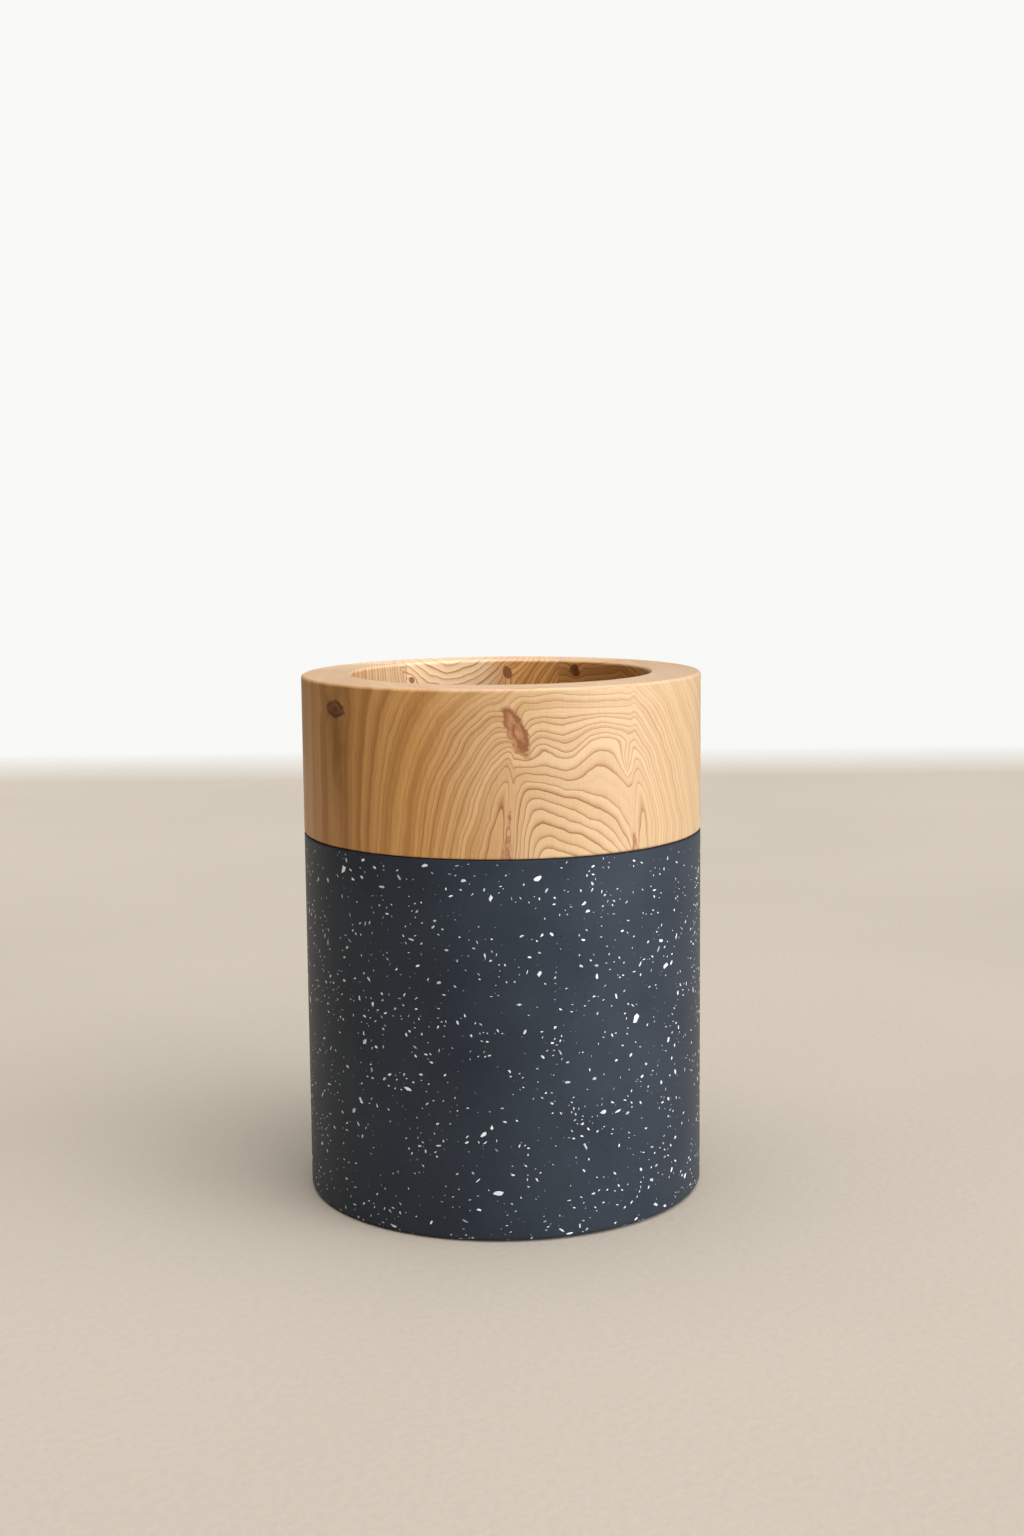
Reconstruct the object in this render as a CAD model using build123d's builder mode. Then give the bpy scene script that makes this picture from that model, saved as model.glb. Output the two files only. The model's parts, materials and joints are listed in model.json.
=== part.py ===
from build123d import *
import math
import os

# Pen holder cup: a cast terrazzo cup with a turned wooden collar glued into its mouth.
# Millimetres. +Z is up. The origin is the centre of the face that the cup stands on.

# Driving dimensions
OUTER_RADIUS = 40.0
BORE_RADIUS = 30.0
TOTAL_HEIGHT = 104.5
JOINT_HEIGHT = 73.0  # middle of the visible line between terrazzo and wood
FLOOR_HEIGHT = 9.0  # top of the cup's floor

# Edges
RIM_ROUNDING = 0.6  # inner and outer edge of the wooden rim
COLLAR_EDGE_ROUNDING = 0.4  # lower outer edge of the collar, at the joint
BODY_TOP_ROUNDING = 0.25  # upper outer edge of the body, at the joint
BODY_BOTTOM_ROUNDING = 0.8
FLOOR_CORNER_RADIUS = 3.0
SPIGOT_CHAMFER = 0.5
RECESS_CORNER_RADIUS = 0.4

# Spigot and socket joint
GLUE_FILM = 0.15  # thickness of the glue under the collar's two level faces
SPIGOT_RADIUS = 34.3
SOCKET_RADIUS = 34.5
SOCKET_DEPTH = 10.0
GLUE_SET_BACK_OUTSIDE = 0.7  # the glue stops short of the outer wall
GLUE_SET_BACK_INSIDE = 0.2  # and of the bore

# The collar is turned from a thick board and a thinner one, glued face to face.
BOARD_GLUE_DIRECTION = 98.7  # degrees from +X to the glue line's normal
BOARD_GLUE_DISTANCE = 25.1  # from the axis to the middle of the glue line
BOARD_GLUE_THICKNESS = 0.1

# Base pad, let into the underside
PAD_RADIUS = 34.0
PAD_THICKNESS = 1.8
PAD_STANDS_PROUD = 0.3
PAD_EDGE_ROUNDING = 0.25
PAD_GLUE_RADIUS = 33.5
RECESS_RADIUS = 34.3

# Levels worked out from those
SHOULDER_LEVEL = JOINT_HEIGHT - 0.5 * GLUE_FILM
COLLAR_LEVEL = JOINT_HEIGHT + 0.5 * GLUE_FILM
SOCKET_LEVEL = SHOULDER_LEVEL - SOCKET_DEPTH
SPIGOT_LEVEL = SOCKET_LEVEL + GLUE_FILM
BODY_LEVEL = PAD_STANDS_PROUD
RECESS_LEVEL = PAD_THICKNESS + GLUE_FILM

os.makedirs("parts", exist_ok=True)


def glue_line_plane(distance):
    """The upright plane across the collar at this distance from the axis, facing outwards."""
    angle = math.radians(BOARD_GLUE_DIRECTION)
    normal = Vector(math.cos(angle), math.sin(angle), 0)
    return Plane(origin=normal * distance, x_dir=(0, 0, 1), z_dir=normal)


def circles_of(part, radius):
    """The part's circular edges of this radius, lowest first."""
    circles = part.edges().filter_by(GeomType.CIRCLE)
    return circles.filter_by(lambda edge: abs(edge.radius - radius) < 1e-3).sort_by(Axis.Z)


# Cup body: the terrazzo casting, with the bore, the collar's socket and the pad's recess
with BuildPart() as cup_body:
    with BuildSketch(Plane.XY.offset(BODY_LEVEL)):
        Circle(OUTER_RADIUS)
    extrude(amount=SHOULDER_LEVEL - BODY_LEVEL)
    with BuildSketch(Plane.XY.offset(FLOOR_HEIGHT)):
        Circle(BORE_RADIUS)
    extrude(amount=SHOULDER_LEVEL - FLOOR_HEIGHT, mode=Mode.SUBTRACT)
    with BuildSketch(Plane.XY.offset(SOCKET_LEVEL)):
        Circle(SOCKET_RADIUS)
    extrude(amount=SOCKET_DEPTH, mode=Mode.SUBTRACT)
    with BuildSketch(Plane.XY.offset(BODY_LEVEL)):
        Circle(RECESS_RADIUS)
    extrude(amount=RECESS_LEVEL - BODY_LEVEL, mode=Mode.SUBTRACT)
    fillet(circles_of(cup_body.part, BORE_RADIUS)[0], radius=FLOOR_CORNER_RADIUS)
    fillet(circles_of(cup_body.part, RECESS_RADIUS)[-1], radius=RECESS_CORNER_RADIUS)
    fillet(circles_of(cup_body.part, OUTER_RADIUS)[0], radius=BODY_BOTTOM_ROUNDING)
    fillet(circles_of(cup_body.part, OUTER_RADIUS)[-1], radius=BODY_TOP_ROUNDING)

# Collar blank: the whole turned ring with its spigot, which the glue line then divides
with BuildPart() as collar_blank:
    with BuildSketch(Plane.XY.offset(COLLAR_LEVEL)):
        Circle(OUTER_RADIUS)
    extrude(amount=TOTAL_HEIGHT - COLLAR_LEVEL)
    with BuildSketch(Plane.XY.offset(SPIGOT_LEVEL)):
        Circle(SPIGOT_RADIUS)
    extrude(amount=COLLAR_LEVEL - SPIGOT_LEVEL)
    with BuildSketch(Plane.XY.offset(SPIGOT_LEVEL)):
        Circle(BORE_RADIUS)
    extrude(amount=TOTAL_HEIGHT - SPIGOT_LEVEL, mode=Mode.SUBTRACT)
    fillet(collar_blank.faces().sort_by(Axis.Z)[-1].edges(), radius=RIM_ROUNDING)
    fillet(circles_of(collar_blank.part, OUTER_RADIUS)[0], radius=COLLAR_EDGE_ROUNDING)
    chamfer(circles_of(collar_blank.part, SPIGOT_RADIUS)[0], length=SPIGOT_CHAMFER)

front_face = glue_line_plane(BOARD_GLUE_DISTANCE - 0.5 * BOARD_GLUE_THICKNESS)
back_face = glue_line_plane(BOARD_GLUE_DISTANCE + 0.5 * BOARD_GLUE_THICKNESS)

# Collar front: the thick board's part of the ring, which is all but the far side
with BuildPart() as collar_front:
    add(collar_blank.part)
    split(bisect_by=front_face, keep=Keep.BOTTOM)

# Collar back: the thinner board's part of the ring
with BuildPart() as collar_back:
    add(collar_blank.part)
    split(bisect_by=back_face, keep=Keep.TOP)

# Board glue: the two thin patches between the boards, left and right of the bore
with BuildPart() as board_glue:
    add(collar_blank.part)
    split(bisect_by=front_face, keep=Keep.TOP)
    split(bisect_by=back_face, keep=Keep.BOTTOM)

# Collar glue: a sleeve round the spigot, with a level film above it and one below
with BuildPart() as collar_glue:
    with BuildSketch(Plane.XY.offset(SOCKET_LEVEL)):
        Circle(SOCKET_RADIUS)
        Circle(BORE_RADIUS + GLUE_SET_BACK_INSIDE, mode=Mode.SUBTRACT)
    extrude(amount=GLUE_FILM)
    with BuildSketch(Plane.XY.offset(SPIGOT_LEVEL)):
        Circle(SOCKET_RADIUS)
        Circle(SPIGOT_RADIUS, mode=Mode.SUBTRACT)
    extrude(amount=SHOULDER_LEVEL - SPIGOT_LEVEL)
    with BuildSketch(Plane.XY.offset(SHOULDER_LEVEL)):
        Circle(OUTER_RADIUS - GLUE_SET_BACK_OUTSIDE)
        Circle(SPIGOT_RADIUS, mode=Mode.SUBTRACT)
    extrude(amount=GLUE_FILM)

# Base pad: the cork disc that the cup stands on
with BuildPart() as base_pad:
    with BuildSketch(Plane.XY):
        Circle(PAD_RADIUS)
    extrude(amount=PAD_THICKNESS)
    fillet(circles_of(base_pad.part, PAD_RADIUS)[0], radius=PAD_EDGE_ROUNDING)

# Pad glue: the film that holds the pad in its recess
with BuildPart() as pad_glue:
    with BuildSketch(Plane.XY.offset(PAD_THICKNESS)):
        Circle(PAD_GLUE_RADIUS)
    extrude(amount=GLUE_FILM)

PIECES = {
    "cup_body": cup_body,
    "collar_front": collar_front,
    "collar_back": collar_back,
    "board_glue": board_glue,
    "collar_glue": collar_glue,
    "base_pad": base_pad,
    "pad_glue": pad_glue,
}
for piece_name, piece in PIECES.items():
    piece.part.label = piece_name
    export_step(piece.part, f"parts/{piece_name}.step")
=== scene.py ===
import json
import math
import random

import bmesh
import bpy
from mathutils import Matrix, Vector, noise


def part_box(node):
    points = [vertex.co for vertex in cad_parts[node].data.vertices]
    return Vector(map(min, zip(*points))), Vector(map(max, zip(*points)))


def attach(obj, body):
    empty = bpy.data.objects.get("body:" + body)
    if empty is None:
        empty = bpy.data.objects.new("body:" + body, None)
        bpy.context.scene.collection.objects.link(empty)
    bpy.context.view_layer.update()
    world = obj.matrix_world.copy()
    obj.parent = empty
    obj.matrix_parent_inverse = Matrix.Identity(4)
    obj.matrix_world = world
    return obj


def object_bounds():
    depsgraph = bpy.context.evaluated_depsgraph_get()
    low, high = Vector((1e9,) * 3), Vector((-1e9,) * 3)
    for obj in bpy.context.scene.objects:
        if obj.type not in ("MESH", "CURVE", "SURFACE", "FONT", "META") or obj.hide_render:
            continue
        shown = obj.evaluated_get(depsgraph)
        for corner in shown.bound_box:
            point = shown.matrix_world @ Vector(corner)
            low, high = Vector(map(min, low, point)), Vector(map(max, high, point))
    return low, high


# Pen holder cup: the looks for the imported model.
# The frame's boxes are in metres. Other sizes are in millimetres, unless their name ends in _M.

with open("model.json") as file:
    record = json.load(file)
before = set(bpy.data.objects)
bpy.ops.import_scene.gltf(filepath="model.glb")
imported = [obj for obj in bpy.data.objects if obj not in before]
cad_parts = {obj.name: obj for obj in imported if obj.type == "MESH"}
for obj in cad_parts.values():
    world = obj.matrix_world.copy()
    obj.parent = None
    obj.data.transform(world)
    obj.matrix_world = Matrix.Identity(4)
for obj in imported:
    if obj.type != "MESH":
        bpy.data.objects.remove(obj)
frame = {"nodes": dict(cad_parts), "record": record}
cad_low, cad_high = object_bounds()

MM = 0.001

# Sizes read from the frame
body_low, body_high = (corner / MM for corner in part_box("cup_body"))
mounts = {mount["name"]: mount for mount in frame["record"]["mounts"]}
OUTER_RADIUS = body_high.x
BODY_BOTTOM = body_low.z
BODY_TOP = body_high.z
RIM_HEIGHT = cad_high.z / MM
BORE_RADIUS = mounts["pen_bore"]["dims"]["r_mm"]

# Sizes of the body that repeat those of the CAD, because the frame doesn't name them
BODY_TOP_ROUNDING = 0.25
BODY_BOTTOM_ROUNDING = 0.8
FLOOR_HEIGHT = 9.0
FLOOR_CORNER_RADIUS = 3.0
RECESS_RADIUS = 34.3


# Numbers and colours on a node tree


class Number:
    """A number on a node tree. Arithmetic on it adds Math nodes."""

    def __init__(self, tree, socket):
        self.tree = tree
        self.socket = socket

    def math(self, operation, *others):
        node = self.tree.nodes.new("ShaderNodeMath")
        node.operation = operation
        for inlet, value in zip(node.inputs, (self, *others)):
            feed(self.tree, value, inlet)
        return Number(self.tree, node.outputs[0])

    def __add__(self, other):
        return self.math("ADD", other)

    def __sub__(self, other):
        return self.math("SUBTRACT", other)

    def __mul__(self, other):
        return self.math("MULTIPLY", other)

    def __truediv__(self, other):
        return self.math("DIVIDE", other)

    def __rsub__(self, other):
        return self * -1.0 + other

    def exponent(self):
        return self.math("EXPONENT")

    def power(self, other):
        return self.math("POWER", other)

    def root(self):
        return self.math("SQRT")

    def absolute(self):
        return self.math("ABSOLUTE")

    def whole(self):
        return self.math("FLOOR")

    def fraction(self):
        return self.math("FRACT")

    def largest(self, other):
        return self.math("MAXIMUM", other)

    def smallest(self, other):
        return self.math("MINIMUM", other)

    def smooth_largest(self, other, distance):
        return self.math("SMOOTH_MAX", other, distance)

    def smooth_smallest(self, other, distance):
        return self.math("SMOOTH_MIN", other, distance)

    def clamped(self):
        return self.largest(0.0).smallest(1.0)

    def ramp(self, start, end):
        """Goes from 0 at the start to 1 at the end, and stays level beyond both."""
        return ((self - start) / (end - start)).clamped()

    def between(self, at_zero, at_one):
        """Takes 0 to the first value and 1 to the second."""
        return self * (at_one - at_zero) + at_zero

    def bell(self, width):
        """1 where this number is 0, falling off smoothly on both sides."""
        scaled = self / width
        return (scaled * scaled * -1.0).exponent()


def feed(tree, value, inlet):
    """Links a Number or a colour socket to an inlet, or sets the inlet to a plain value."""
    if isinstance(value, Number):
        tree.links.new(value.socket, inlet)
    elif isinstance(value, bpy.types.NodeSocket):
        tree.links.new(value, inlet)
    elif isinstance(value, tuple):
        inlet.default_value = (*value, 1.0)
    else:
        inlet.default_value = value


class Finish:
    """A material being built, with places on the object in millimetres."""

    def __init__(self, name):
        self.material = bpy.data.materials.new(name)
        self.material.use_nodes = True
        self.tree = self.material.node_tree
        self.shader = self.tree.nodes["Principled BSDF"]
        coordinates = self.tree.nodes.new("ShaderNodeTexCoord")
        split = self.tree.nodes.new("ShaderNodeSeparateXYZ")
        self.tree.links.new(coordinates.outputs["Object"], split.inputs[0])
        self.x, self.y, self.z = (Number(self.tree, axis) / MM for axis in split.outputs)

    def vector(self, x, y, z):
        node = self.tree.nodes.new("ShaderNodeCombineXYZ")
        for inlet, value in zip(node.inputs, (x, y, z)):
            feed(self.tree, value, inlet)
        return node.outputs[0]

    def noise(self, x, y, z, period, detail=1.0):
        """Soft noise about zero, mostly within 0.6 either way. A fixed x, y or z picks a slice of it."""
        node = self.tree.nodes.new("ShaderNodeTexNoise")
        node.inputs["Scale"].default_value = 1.0 / period
        node.inputs["Detail"].default_value = detail
        self.tree.links.new(self.vector(x, y, z), node.inputs["Vector"])
        return (Number(self.tree, node.outputs[0]) - 0.5) * 2.0

    def cells(self, x, y, z, period):
        """Distance to the nearest of a scatter of points, and a random number for that point."""
        node = self.tree.nodes.new("ShaderNodeTexVoronoi")
        node.inputs["Scale"].default_value = 1.0 / period
        self.tree.links.new(self.vector(x, y, z), node.inputs["Vector"])
        pick = self.tree.nodes.new("ShaderNodeSeparateColor")
        self.tree.links.new(node.outputs["Color"], pick.inputs[0])
        distance = Number(self.tree, node.outputs["Distance"]) * period
        return distance, Number(self.tree, pick.outputs[0])

    def dots(self, x, y, z, period, radius, edge, bare_share):
        """Round dots with a soft edge, on a scatter of points. A share of the points is left bare."""
        distance, pick = self.cells(x, y, z, period)
        strength = ((pick - bare_share) * 12.0).clamped()
        return distance.ramp(radius, radius - edge) * strength

    def chance(self, number, series):
        """A random number from 0 to 1 for each whole number."""
        node = self.tree.nodes.new("ShaderNodeTexWhiteNoise")
        node.noise_dimensions = "2D"
        self.tree.links.new(self.vector(number, series, 0.0), node.inputs["Vector"])
        return Number(self.tree, node.outputs["Value"])

    def mix(self, share, first, second):
        """The first colour, with a share of the second from 0 to 1."""
        node = self.tree.nodes.new("ShaderNodeMix")
        node.data_type = "RGBA"
        feed(self.tree, share, node.inputs["Factor"])
        feed(self.tree, first, node.inputs[6])
        feed(self.tree, second, node.inputs[7])
        return node.outputs[2]

    def tinted(self, colour, number):
        """The colour made lighter or darker by a number about 1."""
        node = self.tree.nodes.new("ShaderNodeVectorMath")
        node.operation = "SCALE"
        self.tree.links.new(colour, node.inputs[0])
        feed(self.tree, number, node.inputs["Scale"])
        return node.outputs[0]

    def complete(self, colour, roughness, height, gloss=0.5):
        """Joins up the colour, the roughness and a height in millimetres."""
        feed(self.tree, colour, self.shader.inputs["Base Color"])
        feed(self.tree, roughness.clamped(), self.shader.inputs["Roughness"])
        self.shader.inputs["Specular IOR Level"].default_value = gloss
        bump = self.tree.nodes.new("ShaderNodeBump")
        bump.inputs["Distance"].default_value = MM
        feed(self.tree, height, bump.inputs["Height"])
        self.tree.links.new(bump.outputs[0], self.shader.inputs["Normal"])
        return self.material


# Wood: the growth rings of each board as a field that rises by one from ring to ring


class Knot:
    """A knot seen end on: an oval in the x-z plane that reaches a way through the board along y.

    Its tilt is in degrees, to the left at its upper end, which taper makes narrower.
    Its pull is the number of rings by which it raises the board's rings at its middle.
    """

    def __init__(self, x, z, half_width, half_length, tilt, y, reach, dark, light, taper=0.0, pull=1.2):
        self.x = x
        self.z = z
        self.half_width = half_width
        self.half_length = half_length
        self.tilt = math.radians(tilt)
        self.y = y
        self.reach = reach
        self.dark = dark
        self.light = light
        self.taper = taper
        self.pull = pull

    def distance(self, x, y, z):
        """1 on the knot's edge, less inside it, and more away from it."""
        across = (x - self.x) * math.cos(self.tilt) + (z - self.z) * math.sin(self.tilt)
        along = (z - self.z) * math.cos(self.tilt) - (x - self.x) * math.sin(self.tilt)
        across = across * (along.largest(0.0) * self.taper + 1.0) / self.half_width
        along = along / self.half_length
        past_end = ((y - self.y).absolute() - self.reach).largest(0.0) / self.reach
        return (across * across + along * along + past_end * past_end).root()


# The boards' colours
GOLDEN = (0.68, 0.355, 0.118)
CREAM = (0.670, 0.455, 0.250)
# Partly the back board's own paler cream, partly painted sheen
PALE_CREAM_AND_SHEEN = (0.71, 0.495, 0.290)
# Painted sheen: a paler, pinker colour on the rim's top face that stands in for the light it reflects
RIM_SHEEN_PINK = (0.78, 0.540, 0.345)
HEARTWOOD = (0.36, 0.145, 0.036)
LATEWOOD = (0.290, 0.085, 0.012)
STAIN = (0.22, 0.084, 0.020)

# The knots' colours
RED_BROWN = (0.25, 0.085, 0.030)
PINKISH = (0.52, 0.235, 0.112)
DARK_BROWN = (0.10, 0.034, 0.012)
CHESTNUT = (0.27, 0.100, 0.034)
RUSSET = (0.33, 0.125, 0.055)
SALMON = (0.68, 0.380, 0.215)


def waves(wood, x, y, z, sideways_shift, upwards_shift):
    """Slow bends of the rings, sideways and upwards, and a fine ripple. The shifts vary the bends."""
    sideways = wood.noise(x + sideways_shift, y * 0.4, z * 0.8, 8.0)
    upwards = wood.noise(x * 0.8 + upwards_shift, y * 0.4, z, 7.0)
    ripple = wood.noise(x, y * 0.4, z * 0.6, 2.4)
    return sideways, upwards, ripple


def pale_patches(wood, x, y, z):
    """Broad patches where the wood is a little paler or more golden."""
    return wood.noise(x * 0.8, y * 0.5, z * 0.3, 14.0)


class FrontBoard:
    """The thick board: a dome of rings on the joint, and arches over it that turn at the main knot.

    The figure is laid out on the front of the collar, from x = -40 to 40 and from z = 73 to 104.5.
    """

    pale = CREAM
    tone = 1.03
    knots = (
        Knot(2.7, 96.6, 1.60, 4.7, 24, y=-36, reach=9, dark=RED_BROWN, light=PINKISH, pull=2.6),
        Knot(-31.3, 99.7, 1.7, 1.5, 0, y=-25, reach=7, dark=DARK_BROWN, light=CHESTNUT, pull=2.0),
        Knot(0.4, 70.5, 1.3, 10.5, -5, y=-37, reach=9, dark=RUSSET, light=SALMON, taper=0.16),
        Knot(25.0, 71.5, 0.75, 5.0, 4, y=-31, reach=7, dark=RUSSET, light=SALMON, taper=0.16),
        Knot(15.8, 102.3, 0.9, 1.3, 15, y=26, reach=5, dark=DARK_BROWN, light=CHESTNUT),
    )

    dome_rings = 5.6  # from the dome's middle to its edge
    covered_rings = 2.6  # the innermost rings of the arches, which the dome covers

    def rings(self, wood, x, y, z):
        sideways, upwards, ripple = waves(wood, x, y, z, 31.0, 67.0)
        x = x + sideways * x.ramp(-26.0, -2.0).between(0.25, 1.10)
        z = z + upwards + (y + OUTER_RADIUS) * 0.10
        dome = self.dome(x, z).smooth_smallest(self.dome_rings, 2.5)
        arches = (self.arches(x, y, z) - self.covered_rings).smooth_largest(0.0, 2.0)
        rings = dome + arches - (self.dome_rings - self.covered_rings)
        return rings + self.notch(x, z) * 3.0 + ripple * 0.24

    def dome(self, x, z):
        """Rings counted outwards from the dome's middle, over its two sides and its sloping top."""
        left = (5.6 - x + (z - 78.0) * 0.1) * 1.45
        top = (z - 77.7 + (x - 8.0) * 0.44) / 2.1
        right = (x - 22.6) / 1.2 + (z - 75.0) / 2.4 + 3.0
        return left.smooth_largest(top, 7.0).smooth_largest(right, 2.0)

    def arches(self, x, y, z):
        """Rings counted outwards over the dome: its left flank, its crown and its right shoulder."""
        flank_and_crown = self.flank(x, y, z).smooth_largest(self.crown(x, z), 1.5)
        return flank_and_crown.smooth_largest(self.shoulder(x, z), 1.5)

    def flank(self, x, y, z):
        """The arches' left side: ring 6.0 on a line that leans further to the right the higher it is."""
        rise = z - 75.0
        lean = x.ramp(-31.0, 7.0) * (1.0 - (y + OUTER_RADIUS) * 0.03)
        outward = lean * rise * (rise * 0.0125 + 0.30) - x - 5.6
        return outward.largest(0.0) / 0.85 + outward.smallest(0.0) / 1.5 + 6.0

    def crown(self, x, z):
        """The arches' top: ring 8.0 on a level line, with a dip and a hump that flatten out upwards."""
        swing = z.ramp(101.0, 92.0) * 2.6
        level = z - 93.8 - swing * ((x - 18.0).bell(3.6) - (x - 11.5).bell(4.0))
        below = level.smallest(0.0).smooth_largest(-6.7, 4.0)
        past_ends = (x - 2.0).smallest(0.0) + (24.0 - x).smallest(0.0)
        return level.largest(0.0) / 1.2 + below / 2.8 + past_ends * 0.9 + 8.0

    def shoulder(self, x, z):
        """The arches' right side: ring 5.6 on a quarter of an oval."""
        across = (x - 16.0).largest(0.0) / 14.5
        up = (z - 74.0) / 26.0
        outward = (across * across + up * up).root() - 0.869
        return outward.largest(0.0) * 24.0 + outward.smallest(0.0) * 14.0 + 5.6

    def notch(self, x, z):
        """The narrow pinch where the arches meet the shoulder."""
        return ((x - 23.1).absolute() / -1.1).exponent() * (z - 91.0).bell(3.6)

    def paleness(self, wood, x, y, z):
        """Golden at the left of the front and at the back right, and cream sapwood elsewhere."""
        from_golden_side = (x + 16.0 + (y + 25.0).largest(0.0) * 0.9) / 26.0
        pale = (from_golden_side + pale_patches(wood, x, y, z) * 0.5).clamped()
        return pale * (1.0 - y.ramp(2.0, 12.0) * x.ramp(8.0, 14.0))

    def stain(self, wood, x, y, z):
        """The brown streak that runs down from the left knot, and the faint stain round it."""
        wander = wood.noise(z * 0.15, 7.0, y * 0.3, 1.0) * 1.2
        streak = (x + 31.3 + wander).bell(1.4) * ((z - 94.0).bell(11.0) * 0.56 + 0.14)
        streak = streak + x.ramp(-22.0, -30.0) * 0.14
        return (streak * y.ramp(-10.0, -20.0)).clamped()


class BackBoard:
    """The thin board: its rings hang in loops left of the middle and steepen to the right."""

    # Partly the board's own paler wood, partly painted sheen: the paler cream and the higher lightness
    # stand in for the sheen on the inner wall
    pale = PALE_CREAM_AND_SHEEN
    tone = 1.26
    knots = (
        Knot(1.4, 101.8, 0.9, 1.4, 20, y=30, reach=6, dark=RED_BROWN, light=CHESTNUT),
        Knot(-19.0, 100.9, 0.55, 0.7, 0, y=24, reach=5, dark=RED_BROWN, light=CHESTNUT),
    )

    def rings(self, wood, x, y, z):
        sideways, upwards, ripple = waves(wood, x, y, z, 11.0, 41.0)
        x = x + sideways * 1.2 + 12.0
        z = z + upwards + (y - BORE_RADIUS) * 0.12
        loop = x * x * 0.042 - x.smallest(0.0) * 0.25
        return (loop - z + 104.0) / 1.7 + ripple * 0.3

    def paleness(self, wood, x, y, z):
        """Pale left of the middle, golden right of it."""
        return ((4.0 - x) / 8.0 + pale_patches(wood, x, y, z) * 0.6).clamped()

    def stain(self, wood, x, y, z):
        """A brown streak right of the middle."""
        wander = wood.noise(z * 0.1, 3.0, y * 0.3, 1.0) * 1.5
        return ((x - 14.5 - wander).bell(1.6) * 0.35).clamped()


def bend_round_knots(wood, board, rings):
    """The board's rings, bent round its knots and a little uneven in their spacing."""
    for knot in board.knots:
        rings = rings + knot.distance(wood.x, wood.y, wood.z).bell(1.5) * knot.pull
    return rings + wood.noise(rings * 0.8, 9.0, 2.0, 1.0) * 0.45


def board_colour(wood, board, rings, pale, top_face_sheen):
    """Golden and pale wood, with broad bands of heartwood along the rings, and a painted sheen that
    makes the rim's top face paler and pinker.
    """
    colour = wood.mix(pale, GOLDEN, board.pale)
    bands = wood.noise(rings * 0.42, 3.0, 5.0, 1.0, 2.0)
    heart = (bands * 2.6 + 0.34).clamped() * pale.between(0.66, 0.20)
    colour = wood.mix(heart, colour, HEARTWOOD)
    colour = wood.mix(board.stain(wood, wood.x, wood.y, wood.z), colour, STAIN)
    # Painted sheen: the top face is made paler and pinker
    return wood.mix(top_face_sheen * 0.75, colour, RIM_SHEEN_PINK)


def board_tone_and_painted_light(wood, board):
    """How light the board is, with painted shade that darkens it towards the collar's left and right,
    and painted light that brightens its back left.
    """
    # Painted shade towards the collar's left and right, and painted light at its back left
    painted_side_shade = wood.x.ramp(18.0, 38.0) * 0.13 + wood.x.ramp(-20.0, -28.0) * 0.06
    painted_back_left_light = wood.y.ramp(5.0, 15.0) * wood.x.ramp(0.0, -10.0) * 0.12
    return painted_back_left_light - painted_side_shade + board.tone


LINE_START = 0.03  # part of a ring over which its dark line begins


def latewood_lines(wood, rings, plainness, top_face_sheen):
    """The dark line from one ring to the next, crisp on one side and shaded on the other.

    Lines are fainter where the wood is plain, on the front near the rim, and on the top face under its
    painted sheen.
    """
    ring = rings.whole()
    part = rings - ring
    past_start = part - LINE_START
    depth = wood.chance(ring, 1.0).between(0.65, 1.0)
    shade_width = wood.chance(ring, 2.0).between(0.18, 0.40)
    line = (past_start / -0.13).exponent().smallest(1.0)
    shade = (past_start / shade_width * -1.0).exponent().smallest(1.0)
    late = (line * 0.84 + shade * plainness.between(0.42, 0.17)).smallest(1.0)
    late = late * part.ramp(0.0, LINE_START)
    near_rim = wood.z.ramp(99.0, 101.5) * wood.y.ramp(0.0, -10.0)
    presence = plainness.between(1.0, 0.28) * near_rim.between(1.0, 0.55)
    return late * depth * presence * top_face_sheen.between(1.0, 0.4)


def fine_lines(wood, rings, pale):
    """Three faint lines to each ring, in patches."""
    lines = ((rings * 3.0).fraction() * -4.0).exponent()
    patches = (wood.noise(rings, 1.0, wood.z * 0.05, 3.0) * 1.5 + 0.4).clamped()
    return lines * patches * pale.between(0.56, 0.32)


def knot_colour(wood, knot, colour):
    """The colour with one knot laid over it: its flesh, the knot's own rings, and its dark rind."""
    x, y, z = wood.x, wood.y, wood.z
    edge = knot.distance(x, y, z) + wood.noise(x, y, z, 1.4, 3.0) * 0.45
    swirl = wood.noise(edge * 2.6, x * 0.6, z * 0.35, 1.0, 2.0)
    flesh = wood.mix((swirl * 2.4 + 0.34).clamped(), knot.dark, knot.light)
    knot_rings = ((edge * 2.8 + swirl).fraction() * -5.0).exponent()
    flesh = wood.mix(knot_rings * 0.60, flesh, knot.dark)
    colour = wood.mix(edge.ramp(1.08, 0.92) * 0.90, colour, flesh)
    rind = (edge - 1.0).bell(0.16) * (wood.noise(x, y, z, 1.1) * 1.4 + 0.7).clamped()
    return wood.mix(rind * 0.55, colour, knot.dark)


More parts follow.
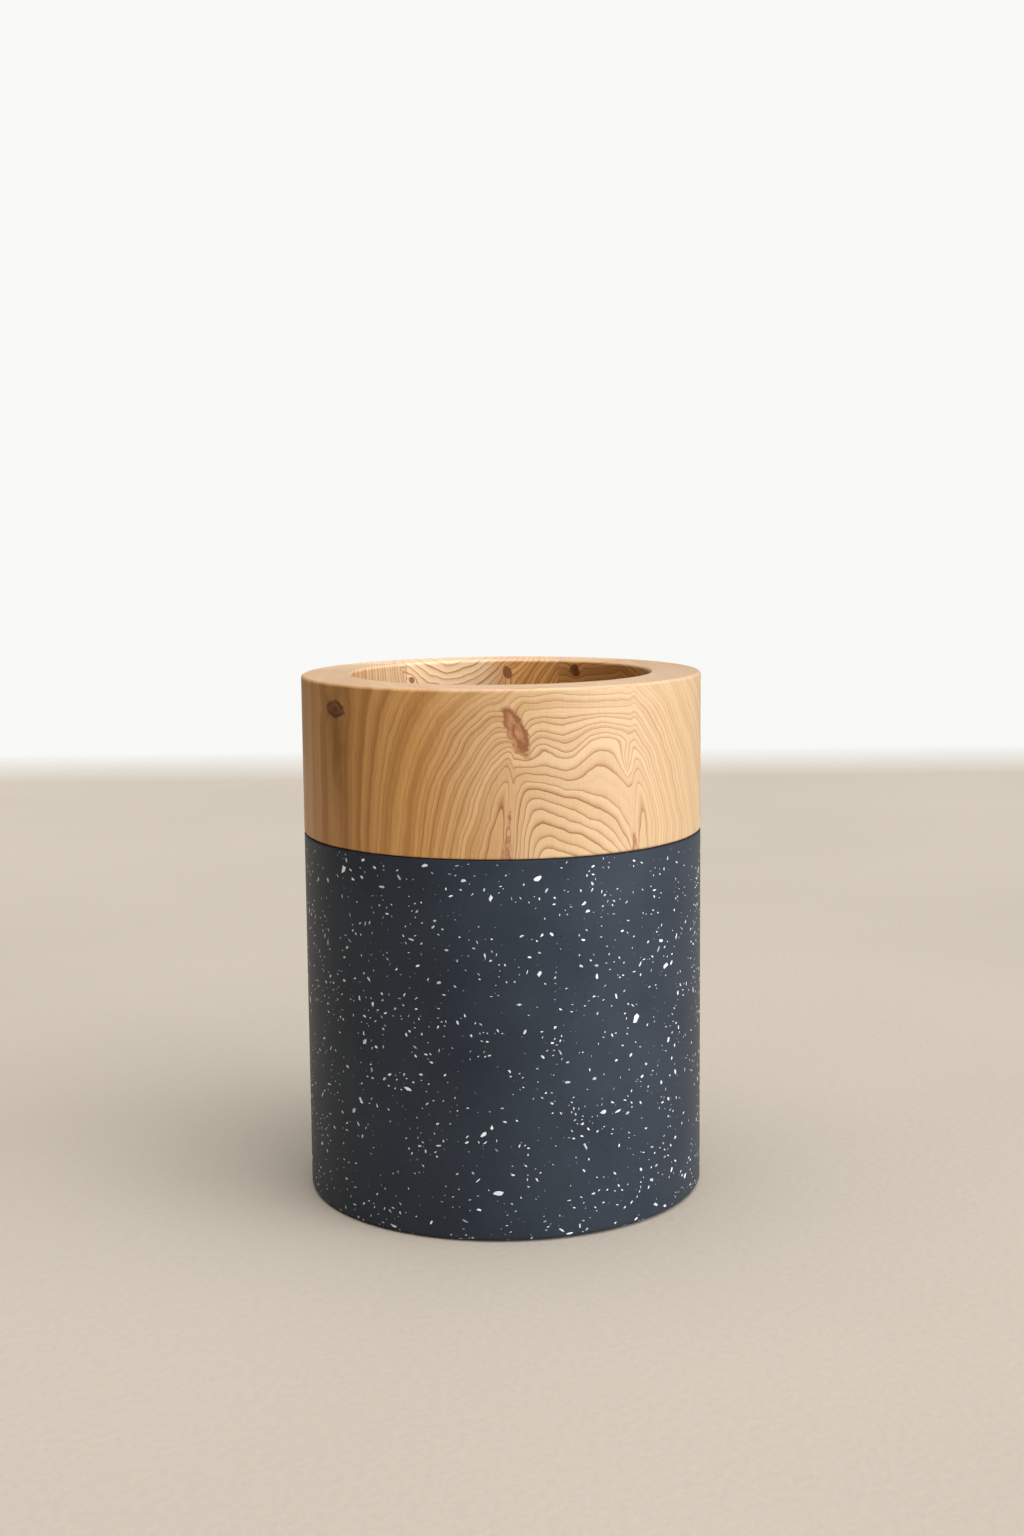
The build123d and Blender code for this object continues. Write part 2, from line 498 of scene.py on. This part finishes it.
def wood_finish(name, board):
    """A board's wood: its colours, lines and knots, laid out by the board's field of rings."""
    wood = Finish(name)
    x, y, z = wood.x, wood.y, wood.z
    rings = bend_round_knots(wood, board, board.rings(wood, x, y, z))
    pale = board.paleness(wood, x, y, z)
    # The top face, which gets a painted sheen: a paler, pinker colour and fainter lines
    top_face_sheen = z.ramp(RIM_HEIGHT - 0.5, RIM_HEIGHT)
    beside_figure = 1.0 - (x - 9.0).bell(25.0)
    plainness = beside_figure * y.ramp(5.0, -15.0)

    fibres = wood.noise(x * 5.0, y * 5.0, z * 0.22, 1.0, 3.0)
    fine_fibres = wood.noise(x * 9.0, y * 9.0, z * 0.9, 1.0)
    # The fibres' lightness, with the board's lightness and its painted shade and light
    tone = fibres * pale.between(0.20, 0.11) + fine_fibres * 0.08 + board_tone_and_painted_light(wood, board)
    colour = wood.tinted(board_colour(wood, board, rings, pale, top_face_sheen), tone)
    late = latewood_lines(wood, rings, plainness, top_face_sheen)
    colour = wood.mix(late, colour, LATEWOOD)
    colour = wood.mix(fine_lines(wood, rings, pale), colour, HEARTWOOD)
    for knot in board.knots:
        colour = knot_colour(wood, knot, colour)

    roughness = fibres * 0.10 + late * 0.08 + 0.38
    height = fibres * 0.0015 + fine_fibres * 0.001
    return wood.complete(colour, roughness, height, gloss=0.22)


# Terrazzo

MATRIX_DARK = (0.0198, 0.0262, 0.0375)
MATRIX_LIGHT = (0.0325, 0.0425, 0.0565)
SPECK = (0.24, 0.27, 0.31)
PORE = (0.008, 0.010, 0.013)
CHIP_GREY = (0.30, 0.335, 0.38)
CHIP_WHITE = (0.93, 0.96, 1.0)


def terrazzo_finish():
    """The slate-blue matrix, with specks too small to be chips, and pin holes."""
    stone = Finish("terrazzo_matrix")
    x, y, z = stone.x, stone.y, stone.z
    clouds = stone.noise(x, y, z, 16.0, 2.0)
    grit = stone.noise(x, y, z, 0.5, 2.0)
    colour = stone.mix((clouds * 0.8 + grit * 0.35 + 0.5).clamped(), MATRIX_DARK, MATRIX_LIGHT)
    speck = stone.dots(x, y, z, 1.25, radius=0.14, edge=0.06, bare_share=0.45)
    colour = stone.mix(speck * 0.80, colour, SPECK)
    pore = stone.dots(x + 40.0, y, z, 2.2, radius=0.16, edge=0.06, bare_share=0.5)
    colour = stone.mix(pore * 0.8, colour, PORE)
    roughness = clouds * 0.06 + grit * 0.08 + pore * 0.2 + 0.46
    height = grit * 0.003 - pore * 0.06
    return stone.complete(colour, roughness, height, gloss=0.18)


def chip_finish():
    """Marble chips, from grey to nearly white, each with its own shade."""
    chip = Finish("terrazzo_chip")
    geometry = chip.tree.nodes.new("ShaderNodeNewGeometry")
    shade = Number(chip.tree, geometry.outputs["Random Per Island"])
    grit = chip.noise(chip.x, chip.y, chip.z, 0.35, 2.0)
    lightness = (shade.root() + grit * 0.12).clamped()
    colour = chip.mix(lightness, CHIP_GREY, CHIP_WHITE)
    return chip.complete(colour, grit * 0.12 + 0.38, grit * 0.002)


# Cork and glues

CORK_DARK = (0.30, 0.165, 0.075)
CORK_LIGHT = (0.56, 0.36, 0.19)
CORK_SEAM = (0.09, 0.045, 0.02)
WOOD_GLUE = ((0.42, 0.215, 0.085), (0.54, 0.30, 0.13))
EPOXY = ((0.020, 0.019, 0.017), (0.045, 0.042, 0.036))
CONTACT_ADHESIVE = ((0.40, 0.32, 0.18), (0.56, 0.46, 0.28))


def cork_finish():
    """Pressed granules of several shades, with dark seams between them."""
    cork = Finish("cork_granules")
    x, y, z = cork.x, cork.y, cork.z
    distance, pick = cork.cells(x, y, z, 1.6)
    fine = cork.noise(x, y, z, 0.6, 3.0)
    colour = cork.mix((pick * 0.9 + fine * 0.3).clamped(), CORK_DARK, CORK_LIGHT)
    seam = distance.ramp(0.62, 0.87)
    colour = cork.mix(seam * 0.6, colour, CORK_SEAM)
    return cork.complete(colour, fine * 0.1 + 0.85, fine * 0.03 - seam * 0.08, gloss=0.2)


def glue_finish(name, colours, roughness):
    """A cloudy film of glue, between a dark and a light colour."""
    glue = Finish(name)
    x, y, z = glue.x, glue.y, glue.z
    cloud = glue.noise(x, y, z, 3.0, 3.0)
    fine = glue.noise(x, y, z, 0.3, 2.0)
    colour = glue.mix((cloud * 0.9 + fine * 0.3 + 0.5).clamped(), *colours)
    return glue.complete(colour, cloud * 0.15 + roughness, fine * 0.006 + cloud * 0.01, gloss=0.4)


# Terrazzo chips, let into the casting and all but flush with its surface


def quarter_turn(centre_radius, centre_height, radius, start, steps=8):
    """Points and normals round a quarter circle that starts at this angle and turns left."""
    points = []
    for step in range(steps + 1):
        angle = math.radians(start + 90.0 * step / steps)
        normal = (math.cos(angle), math.sin(angle))
        points.append((centre_radius + radius * normal[0], centre_height + radius * normal[1], *normal))
    return points


class Profile:
    """The outline of a turned surface, as points of radius, height and outward normal."""

    def __init__(self, points):
        self.points = points
        self.distances = [0.0]
        for before, after in zip(points, points[1:]):
            step = math.hypot(after[0] - before[0], after[1] - before[1])
            self.distances.append(self.distances[-1] + step)

    @property
    def length(self):
        return self.distances[-1]

    def at(self, distance):
        """Radius, height and normal at this distance along the outline."""
        distance = min(max(distance, 0.0), self.length)
        for index in range(1, len(self.points)):
            if distance <= self.distances[index]:
                break
        span = self.distances[index] - self.distances[index - 1]
        share = (distance - self.distances[index - 1]) / span if span else 0.0
        before, after = self.points[index - 1], self.points[index]
        return [a + (b - a) * share for a, b in zip(before, after)]

    def area_cm2(self, steps=400):
        """The area of the whole turned surface."""
        area = 0.0
        for step in range(steps):
            radius = self.at(self.length * (step + 0.5) / steps)[0]
            area += math.tau * radius * self.length / steps / 100.0
        return area


RECESS_MARGIN = 0.1  # from the recess's edge to the first chips
FLOOR_CENTRE_MARGIN = 0.5  # from the axis to the first chips on the cup's floor
BORE_CHIPS_TOP = 62.9  # just under the collar's socket


def outer_profile():
    """From the pad's recess, out over the bottom edge and up the outer wall."""
    wall = OUTER_RADIUS - BODY_BOTTOM_ROUNDING
    bottom_edge = quarter_turn(wall, BODY_BOTTOM + BODY_BOTTOM_ROUNDING, BODY_BOTTOM_ROUNDING, -90)
    points = [(RECESS_RADIUS + RECESS_MARGIN, BODY_BOTTOM, 0.0, -1.0), *bottom_edge]
    points.append((OUTER_RADIUS, BODY_TOP - BODY_TOP_ROUNDING, 1.0, 0.0))
    return Profile(points)


def inner_profile():
    """From the middle of the cup's floor, round its corner and up the bore."""
    corner_radius = BORE_RADIUS - FLOOR_CORNER_RADIUS
    corner = quarter_turn(corner_radius, FLOOR_HEIGHT + FLOOR_CORNER_RADIUS, FLOOR_CORNER_RADIUS, -90)
    corner = [(radius, height, -across, -up) for radius, height, across, up in corner]
    points = [(FLOOR_CENTRE_MARGIN, FLOOR_HEIGHT, 0.0, 1.0), *corner]
    points.append((BORE_RADIUS, BORE_CHIPS_TOP, -1.0, 0.0))
    return Profile(points)


CHIP_SEED = 20
CHIPS_PER_SQUARE_CM = 16.0
CHIP_LENGTH = 0.57  # the middle one of the lengths drawn
CHIP_LENGTH_SPREAD = 0.48  # of the length's logarithm
CHIP_LONGEST = 2.4
ASPECT_LEAST = 1.65  # a chip's length over its width
ASPECT_SPREAD = 0.90
ASPECT_MOST = 4.8
CHIP_PROUD = 0.012
CHIP_DEPTH = 0.35
CHIP_GAP = 0.12
CHIP_TILT_SPREAD = 0.9  # radians
CHIP_CORNERS = (4, 4, 5, 5, 6, 7)
CORNER_SHIFT = 0.28  # of the angle from one corner to the next
CORNER_LEAST = 0.80  # of half the chip's length or width
CORNER_MOST = 1.12
CLUSTER_SIZE = 5.5
CLUSTER_STRENGTH = 2.5
CLUSTER_THINNING = 1.0
SEARCH_CELL = 3.0  # more than two of the longest chips need between their middles


def chip_outline(draw, length, width):
    """Corners of an angular chip, as distances across and along, before it is turned."""
    count = draw.choice(CHIP_CORNERS)
    turn = draw.uniform(0.0, math.tau)
    corners = []
    for index in range(count):
        angle = turn + math.tau * (index + draw.uniform(-CORNER_SHIFT, CORNER_SHIFT)) / count
        reach = draw.uniform(CORNER_LEAST, CORNER_MOST)
        corners.append((0.5 * length * reach * math.cos(angle), 0.5 * width * reach * math.sin(angle)))
    return corners


def chip_size(draw):
    """Length and width of a chip. Most are small, and a few are long or narrow."""
    length = min(CHIP_LENGTH * math.exp(draw.gauss(0.0, CHIP_LENGTH_SPREAD)), CHIP_LONGEST)
    width = length / min(ASPECT_LEAST + draw.expovariate(1.0 / ASPECT_SPREAD), ASPECT_MOST)
    return length, width


def chips_near(taken, key):
    """The chips placed so far in a search cell and the cells round it."""
    return [
        chip
        for dx in (-1, 0, 1)
        for dy in (-1, 0, 1)
        for dz in (-1, 0, 1)
        for chip in taken.get((key[0] + dx, key[1] + dy, key[2] + dz), ())
    ]


def scatter(draw, profile, cluster_seed):
    """Chips over a turned surface, in loose clusters that leave barer patches between them."""
    wanted = round(profile.area_cm2() * CHIPS_PER_SQUARE_CM)
    half_span = 0.5 * CORNER_MOST
    taken = {}
    chips = []
    while len(chips) < wanted:
        distance = draw.uniform(0.0, profile.length)
        angle = draw.uniform(0.0, math.tau)
        radius, height = profile.at(distance)[:2]
        if draw.random() > radius / OUTER_RADIUS:
            continue
        spot = Vector((radius * math.cos(angle), radius * math.sin(angle), height))
        crowding = noise.noise(spot / CLUSTER_SIZE + Vector((cluster_seed, 0.0, 0.0)))
        if draw.random() > math.exp(CLUSTER_STRENGTH * crowding - CLUSTER_THINNING):
            continue
        length, width = chip_size(draw)
        key = tuple(int(value // SEARCH_CELL) for value in spot)
        near = chips_near(taken, key)
        if any((spot - other).length < half_span * (length + size) + CHIP_GAP for other, size in near):
            continue
        taken.setdefault(key, []).append((spot, length))
        chips.append((distance, angle, length, width))
    return chips


def add_chip(mesh, draw, profile, chip):
    """A closed prism let into the surface, whose top follows the surface's curve."""
    distance, angle, length, width = chip
    radius = profile.at(distance)[0]
    tilt = draw.gauss(0.0, CHIP_TILT_SPREAD)
    outline = [(0.0, 0.0), *chip_outline(draw, length, width)]

    def layer(lift):
        vertices = []
        for across, along in outline:
            sideways = across * math.cos(tilt) - along * math.sin(tilt)
            up = across * math.sin(tilt) + along * math.cos(tilt)
            r, h, normal_r, normal_h = profile.at(distance + up)
            turn = angle + sideways / radius
            r += normal_r * lift
            place = Vector((r * math.cos(turn), r * math.sin(turn), h + normal_h * lift))
            vertices.append(mesh.verts.new(place * MM))
        return vertices

    top = layer(CHIP_PROUD)
    bottom = layer(-CHIP_DEPTH)
    count = len(outline) - 1
    for index in range(count):
        here, after = 1 + index, 1 + (index + 1) % count
        mesh.faces.new((top[0], top[here], top[after]))
        mesh.faces.new((bottom[0], bottom[after], bottom[here]))
        mesh.faces.new((top[here], bottom[here], bottom[after]))
        mesh.faces.new((top[here], bottom[after], top[after]))


def new_object(name, mesh, material):
    """An object in the scene from a finished bmesh."""
    data = bpy.data.meshes.new(name)
    mesh.to_mesh(data)
    mesh.free()
    data.materials.append(material)
    made = bpy.data.objects.new(name, data)
    bpy.context.scene.collection.objects.link(made)
    return made


def terrazzo_chips():
    """All the chips as one piece, on the outside and the inside of the casting."""
    draw = random.Random(CHIP_SEED)
    mesh = bmesh.new()
    for profile, cluster_seed in ((outer_profile(), 0.0), (inner_profile(), 50.0)):
        for chip in scatter(draw, profile, cluster_seed):
            add_chip(mesh, draw, profile, chip)
    bmesh.ops.recalc_face_normals(mesh, faces=mesh.faces)
    chips = new_object("terrazzo_chips", mesh, chip_finish())
    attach(chips, "root")


# Materials and shading on the CAD pieces

SHARP_ANGLE = 35.0  # degrees between two faces from which their edge is crisp
LEVEL = 0.9999  # upward part of the normal from which a face counts as level


def dress(node, material):
    """Gives a CAD piece this material alone."""
    piece = frame["nodes"][node]
    piece.data.materials.clear()
    piece.data.materials.append(material)


def smooth_shading(node):
    """Shades the round faces smoothly, and keeps level faces flat and the edges crisp."""
    data = frame["nodes"][node].data
    for polygon in data.polygons:
        polygon.use_smooth = abs(polygon.normal.z) < LEVEL
    data.set_sharp_from_angle(angle=math.radians(SHARP_ANGLE))


dress("collar_front", wood_finish("collar_front_wood", FrontBoard()))
dress("collar_back", wood_finish("collar_back_wood", BackBoard()))
dress("cup_body", terrazzo_finish())
dress("base_pad", cork_finish())
dress("board_glue", glue_finish("wood_glue", WOOD_GLUE, 0.5))
dress("collar_glue", glue_finish("epoxy", EPOXY, 0.40))
dress("pad_glue", glue_finish("contact_adhesive", CONTACT_ADHESIVE, 0.45))
for node in frame["nodes"]:
    smooth_shading(node)
terrazzo_chips()


# Stage: a pale floor that fades into a white surround

FLOOR_HALF_SIZE_M = 2.0
FLOOR_FADE = (610.0, 730.0)  # from the middle to where it begins to fade, and to where it is gone
SAND_DARK = (0.450, 0.394, 0.325)
SAND_LIGHT = (0.585, 0.518, 0.433)


def sand_finish():
    """Fine pale sand that turns clear towards the floor's edges."""
    sand = Finish("floor_sand")
    x, y, z = sand.x, sand.y, sand.z
    clouds = sand.noise(x, y, z, 160.0, 2.0)
    grit = sand.noise(x, y, z, 1.6, 3.0)
    colour = sand.mix((clouds * 0.3 + grit * 0.2 + 0.5).clamped(), SAND_DARK, SAND_LIGHT)
    sand.complete(colour, grit * 0.1 + 0.8, grit * 0.04, gloss=0.2)
    fade = x.absolute().largest(y.absolute()).ramp(*FLOOR_FADE)
    clear = sand.tree.nodes.new("ShaderNodeBsdfTransparent")
    blend = sand.tree.nodes.new("ShaderNodeMixShader")
    sand.tree.links.new(fade.socket, blend.inputs[0])
    sand.tree.links.new(sand.shader.outputs[0], blend.inputs[1])
    sand.tree.links.new(clear.outputs[0], blend.inputs[2])
    sand.tree.links.new(blend.outputs[0], sand.tree.nodes["Material Output"].inputs["Surface"])
    return sand.material


def stage_floor():
    mesh = bmesh.new()
    bmesh.ops.create_grid(mesh, x_segments=1, y_segments=1, size=FLOOR_HALF_SIZE_M)
    floor = new_object("floor", mesh, sand_finish())


# Light: a soft dome, brightest to the right of the camera, and a white surround

# Each glow: degrees right of the camera and above the floor, sharpness, strength, colour
GLOWS = {
    "key": (44.0, 35.0, 5.0, 2.35, (1.0, 0.98, 0.95)),
    "side": (66.0, 0.0, 12.0, 7.9, (0.86, 0.96, 1.10)),
    "surround": (170.0, 5.0, 1.5, 0.26, (1.0, 1.0, 1.0)),
    "overhead": (0.0, 90.0, 6.0, 2.9, (1.0, 1.0, 1.0)),
}
AMBIENT = 0.02
SURROUND_SEEN = (0.947, 0.947, 0.930)


def light_dome():
    """Lights the object with the glows, while the camera sees a plain white surround."""
    world = bpy.data.worlds.new("studio")
    bpy.context.scene.world = world
    world.use_nodes = True
    tree = world.node_tree
    coordinates = tree.nodes.new("ShaderNodeTexCoord")
    split = tree.nodes.new("ShaderNodeSeparateXYZ")
    tree.links.new(coordinates.outputs["Generated"], split.inputs[0])
    x, y, z = (Number(tree, axis) for axis in split.outputs)
    channels = [AMBIENT, AMBIENT, AMBIENT]
    for azimuth, elevation, sharpness, strength, colour in GLOWS.values():
        level = math.cos(math.radians(elevation))
        towards_x = level * math.sin(math.radians(azimuth))
        towards_y = -level * math.cos(math.radians(azimuth))
        facing = x * towards_x + y * towards_y + z * math.sin(math.radians(elevation))
        glow = facing.largest(0.0).power(sharpness) * strength
        channels = [glow * share + channel for channel, share in zip(channels, colour)]
    light_paths = tree.nodes.new("ShaderNodeLightPath")
    seen = Number(tree, light_paths.outputs["Is Camera Ray"])
    unseen = 1.0 - seen
    join = tree.nodes.new("ShaderNodeCombineColor")
    for inlet, channel, plain in zip(join.inputs, channels, SURROUND_SEEN):
        feed(tree, channel * unseen + seen * plain, inlet)
    tree.links.new(join.outputs[0], tree.nodes["Background"].inputs["Color"])


# Camera: in front of the cup and a little above it, looking slightly down

CAMERA_PLACE_M = (0.0, -0.40677, 0.1380)
CAMERA_LENS = 47.53
CAMERA_SENSOR = 36.0
CAMERA_NEAREST_M = 0.01
CAMERA_PITCH = 0.1299  # radians down from level
CAMERA_YAW = 0.0050  # radians to the right
CAMERA_ROLL = -0.0097  # radians


def camera():
    """The view of the photograph."""
    data = bpy.data.cameras.new("camera")
    data.lens = CAMERA_LENS
    data.sensor_width = CAMERA_SENSOR
    data.clip_start = CAMERA_NEAREST_M
    seen_from = bpy.data.objects.new("camera", data)
    bpy.context.scene.collection.objects.link(seen_from)
    seen_from.rotation_euler = (math.radians(90.0) - CAMERA_PITCH, 0.0, -CAMERA_YAW)
    seen_from.rotation_euler.rotate_axis("Z", CAMERA_ROLL)
    seen_from.location = CAMERA_PLACE_M
    bpy.context.scene.camera = seen_from


stage_floor()
light_dome()
camera()
bpy.context.scene.view_settings.view_transform = "Standard"
